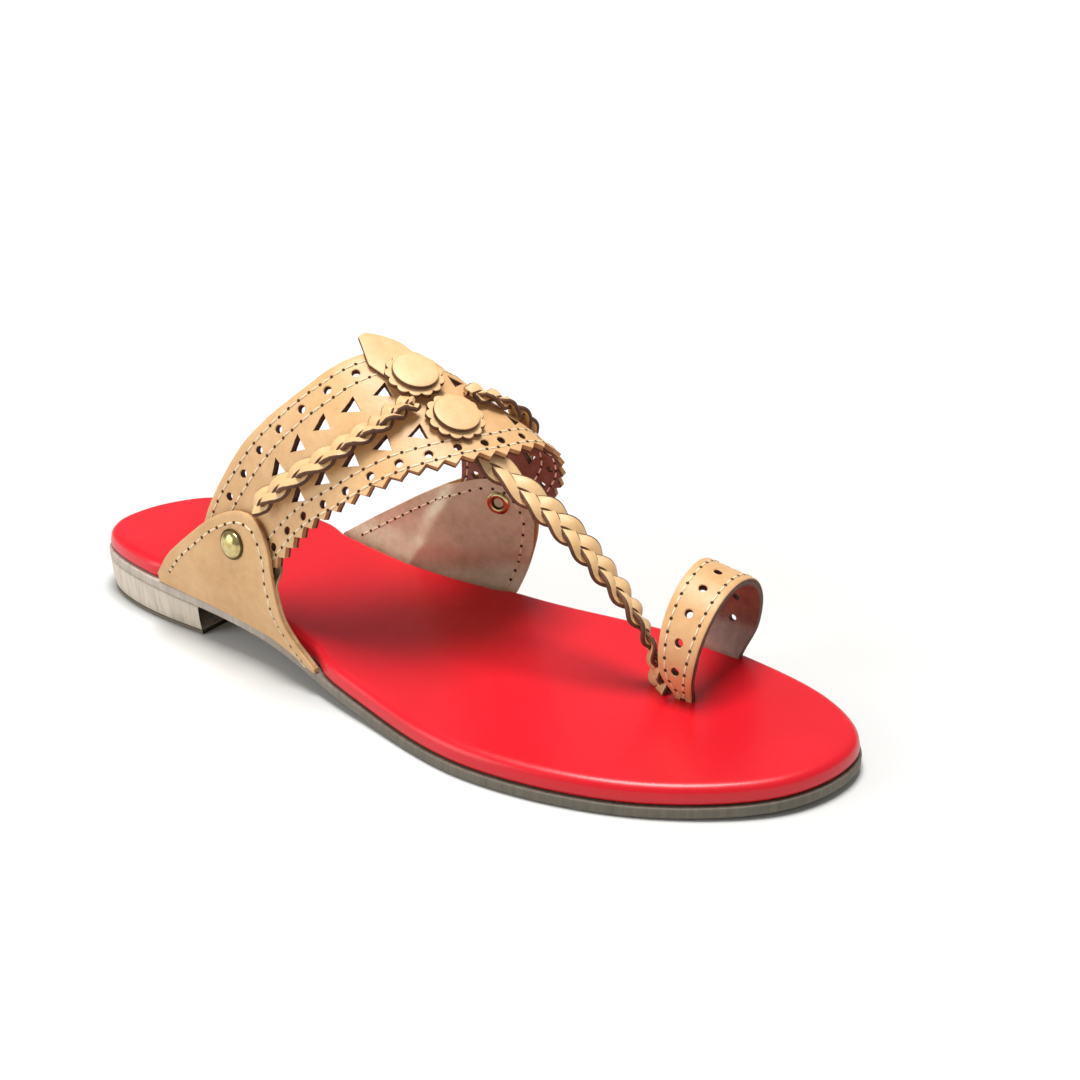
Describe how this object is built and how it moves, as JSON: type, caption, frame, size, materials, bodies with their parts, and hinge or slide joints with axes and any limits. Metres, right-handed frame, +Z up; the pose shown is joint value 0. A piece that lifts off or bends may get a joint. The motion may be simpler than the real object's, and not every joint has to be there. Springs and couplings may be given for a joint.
{
  "type": "kolhapuri sandal",
  "caption": "Flat slide sandal with a punched and braided instep band, braided toe strap, toe ring, padded footbed and low heel.",
  "frame": {"origin": "on the floor under the middle of the sandal's bounding box", "axes": "+Y from the heel to the toe, +Z up, +X towards the little toe of a right foot"},
  "size_m": [0.0898, 0.248, 0.0932],
  "materials": {
    "outsole_rubber": "matt resin rubber sheet, edge trimmed",
    "heel_stack": "stacked leather lifts, sanded and waxed",
    "top_piece_rubber": "matt rubber",
    "footbed_cover": "glossy coated red leather over padding",
    "upper_leather": "semi-matt vegetable-tanned tan leather",
    "lining_leather": "smooth dark brown lining",
    "thread": "waxed polyester sewing thread",
    "brass": "polished antique brass"
  },
  "bodies": {
    "root": {"outsole": "outsole_rubber", "heel_block": "heel_stack", "heel_top_piece": "top_piece_rubber", "footbed": "footbed_cover", "upper_band": "upper_leather", "wing_lateral": "upper_leather", "wing_medial": "upper_leather", "rivet_lateral": "brass", "rivet_medial": "brass", "plait_lateral": "upper_leather", "plait_medial": "upper_leather", "toe_plait": "upper_leather", "toe_ring": "upper_leather", "centre_tab": "upper_leather", "rosette_rear": "upper_leather", "rosette_front": "upper_leather", "button_rear": "upper_leather", "button_front": "upper_leather"}
  },
  "joints": []
}
